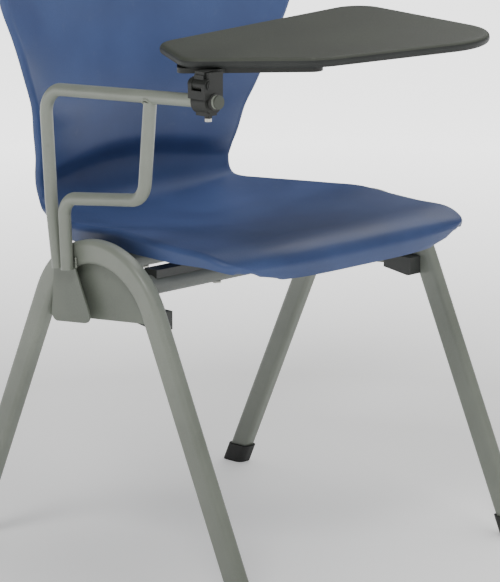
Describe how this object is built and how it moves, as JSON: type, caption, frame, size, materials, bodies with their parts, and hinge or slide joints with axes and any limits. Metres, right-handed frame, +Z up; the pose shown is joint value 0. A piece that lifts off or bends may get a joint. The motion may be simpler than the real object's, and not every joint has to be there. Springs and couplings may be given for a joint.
{
  "type": "student desk chair with folding writing tablet",
  "caption": "Stacking classroom chair with a one-piece plastic seat shell, arched tube side frames and a fold-up writing tablet on a bent tube arm.",
  "frame": {"origin": "on the floor, under the middle of the overall outline", "axes": "+Z up, the chair faces -Y, +X is the sitter's left; the tablet arm is on the -X side"},
  "size_m": [0.5504, 0.655, 0.8176],
  "materials": {
    "shell_blue": "fine pitted satin polypropylene",
    "frame_paint": "satin warm grey powder coat",
    "dark_plastic": "satin",
    "glide_plastic": "satin",
    "cap_grey": "satin",
    "nylon": "satin",
    "bracket_black": "satin black",
    "tablet_black": "fine textured satin",
    "zinc": "zinc plated"
  },
  "bodies": {
    "chair": {"seat_shell": "shell_blue", "seat_boss_rf": "shell_blue", "seat_boss_lf": "shell_blue", "seat_boss_rr": "shell_blue", "seat_boss_lr": "shell_blue", "side_frame_right": "frame_paint", "side_frame_left": "frame_paint", "web_plate_right": "frame_paint", "web_plate_left": "frame_paint", "cross_tube_front": "frame_paint", "cross_tube_rear": "frame_paint", "bearer_front": "dark_plastic", "bearer_rear": "dark_plastic", "seat_screw_rf": "zinc", "seat_screw_lf": "zinc", "seat_screw_rr": "zinc", "seat_screw_lr": "zinc", "stack_bumper_right": "dark_plastic", "stack_bumper_left": "dark_plastic", "glide_rf": "glide_plastic", "glide_rr": "glide_plastic", "glide_lf": "glide_plastic", "glide_lr": "glide_plastic", "arm_plate": "frame_paint", "arm_tube_outer": "frame_paint", "arm_tube_inner": "frame_paint", "arm_end_cap": "cap_grey"},
    "bracket": {"bracket_bushing": "nylon", "bracket": "bracket_black", "bracket_bolt": "zinc", "bracket_nut": "bracket_black", "hinge_pin": "bracket_black", "hinge_clip": "bracket_black"},
    "tablet": {"support_plate": "bracket_black", "tablet_top": "tablet_black", "tablet_screw_1": "zinc", "tablet_screw_2": "zinc", "tablet_screw_3": "zinc", "tablet_screw_4": "zinc"}
  },
  "joints": [
    {"name": "bracket_swing", "type": "hinge", "parent": "chair", "child": "bracket", "pos_m": [-0.25925, -0.16327, 0.6306], "axis": [0, -0.9989, 0.0471], "range_deg": [0, 80]},
    {"name": "tablet_lift", "type": "hinge", "parent": "bracket", "child": "tablet", "pos_m": [-0.26825, -0.16327, 0.6511], "axis": [0, -1, 0], "range_deg": [0, 95]}
  ]
}
